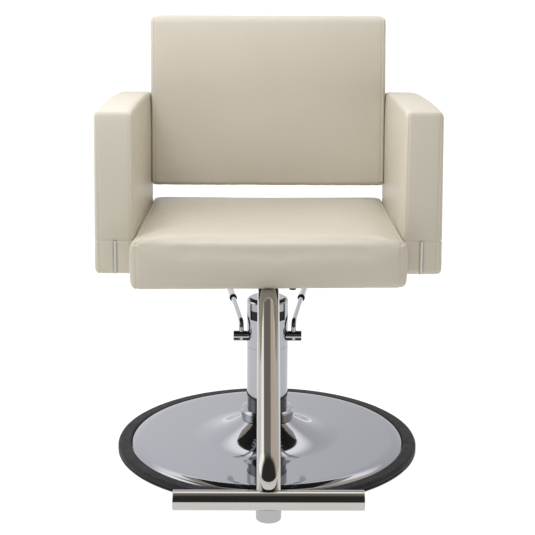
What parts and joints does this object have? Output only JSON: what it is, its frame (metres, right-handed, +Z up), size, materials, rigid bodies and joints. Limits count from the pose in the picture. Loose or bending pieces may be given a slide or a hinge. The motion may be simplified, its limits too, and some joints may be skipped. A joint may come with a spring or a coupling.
{
  "type": "styling chair",
  "caption": "Salon styling chair with a hydraulic pump on a round chrome base, box arms, a low back panel and a T-bar footrest on a bent pole.",
  "frame": {"origin": "on the floor, at the pump's axis, in the middle of the base's underside", "axes": "+Z up along the pump's axis; the sitter faces -Y, towards the footrest; +X is across the arms"},
  "size_m": [0.6176, 0.9159, 0.853],
  "materials": {
    "cream_leather": "satin",
    "chrome": "polished",
    "polished_steel": "polished",
    "satin_steel": "satin",
    "charcoal_ring": "matte",
    "black_plastic": "matte",
    "black_steel": "satin",
    "zinc_steel": "satin",
    "cast_head": "matte",
    "bronze": "satin",
    "seal_rubber": "matte",
    "birch_ply": "matte"
  },
  "bodies": {
    "base": {"ballast_plate": "black_steel", "base_disc": "chrome", "base_rim_ring": "charcoal_ring", "collar_ring": "chrome", "dust_shutter": "black_plastic", "flange_bolts": "zinc_steel", "foot_valve": "zinc_steel", "guide_bush": "bronze", "head_block": "satin_steel", "head_shroud": "chrome", "plunger_spring": "zinc_steel", "pressure_cylinder": "zinc_steel", "pump_body": "chrome", "pump_cover": "chrome", "pump_flange": "black_steel", "pump_head": "cast_head", "pump_seals": "seal_rubber", "shaft_bushes": "chrome", "shroud_screws": "zinc_steel", "valve_block": "cast_head"},
    "ram": {"ram_rod": "chrome", "piston_head": "zinc_steel", "piston_ring": "seal_rubber", "thrust_washer": "bronze"},
    "pedal": {"pedal_yoke": "zinc_steel", "pedal_shafts": "chrome", "lever_bosses": "chrome", "boss_set_screws": "chrome", "lever_rod_left": "chrome", "lever_rod_right": "chrome", "lever_sleeves": "polished_steel", "sleeve_rings": "black_plastic"},
    "plunger": {"plunger": "zinc_steel"},
    "seat": {"swivel_hub": "black_steel", "seat_plate": "black_steel", "plate_bolts": "zinc_steel", "seat_rail_left": "black_steel", "seat_rail_right": "black_steel", "rail_screws": "zinc_steel", "seat_board": "birch_ply", "seat_cushion": "cream_leather", "dust_cover": "black_plastic", "arm_core_left": "birch_ply", "arm_core_right": "birch_ply", "arm_pad_left": "cream_leather", "arm_pad_right": "cream_leather", "arm_strip_left": "polished_steel", "arm_strip_right": "polished_steel", "arm_bolts": "zinc_steel", "back_board": "birch_ply", "back_cushion": "cream_leather", "back_bolts": "zinc_steel", "footrest_pole": "polished_steel", "foot_bar": "polished_steel", "bar_end_plugs": "polished_steel", "pole_end_cap": "satin_steel", "footrest_clamp": "black_steel", "clamp_screw": "black_plastic", "clamp_strap": "black_steel", "clamp_bolts": "zinc_steel"}
  },
  "joints": [
    {"name": "lift", "type": "slide", "parent": "base", "child": "ram", "axis": [0, 0, 1], "range_m": [0, 0.15]},
    {"name": "swivel", "type": "hinge", "parent": "ram", "child": "seat", "pos_m": [0, 0, 0.35], "axis": [0, 0, 1], "continuous": true},
    {"name": "pedal_press", "type": "hinge", "parent": "base", "child": "pedal", "pos_m": [0, -0.012, 0.2315], "axis": [1, 0, 0], "range_deg": [-25, 0], "stiffness_Nm_per_rad": 5, "springref_deg": 34.38},
    {"name": "plunger_stroke", "type": "slide", "parent": "base", "child": "plunger", "axis": [0, 0, 1], "range_m": [-0.0202, 0], "deforming": ["plunger_spring"]}
  ],
  "couplings": [
    {"joint": "plunger_stroke", "follows": "pedal_press", "m_per_rad": 0.046}
  ]
}
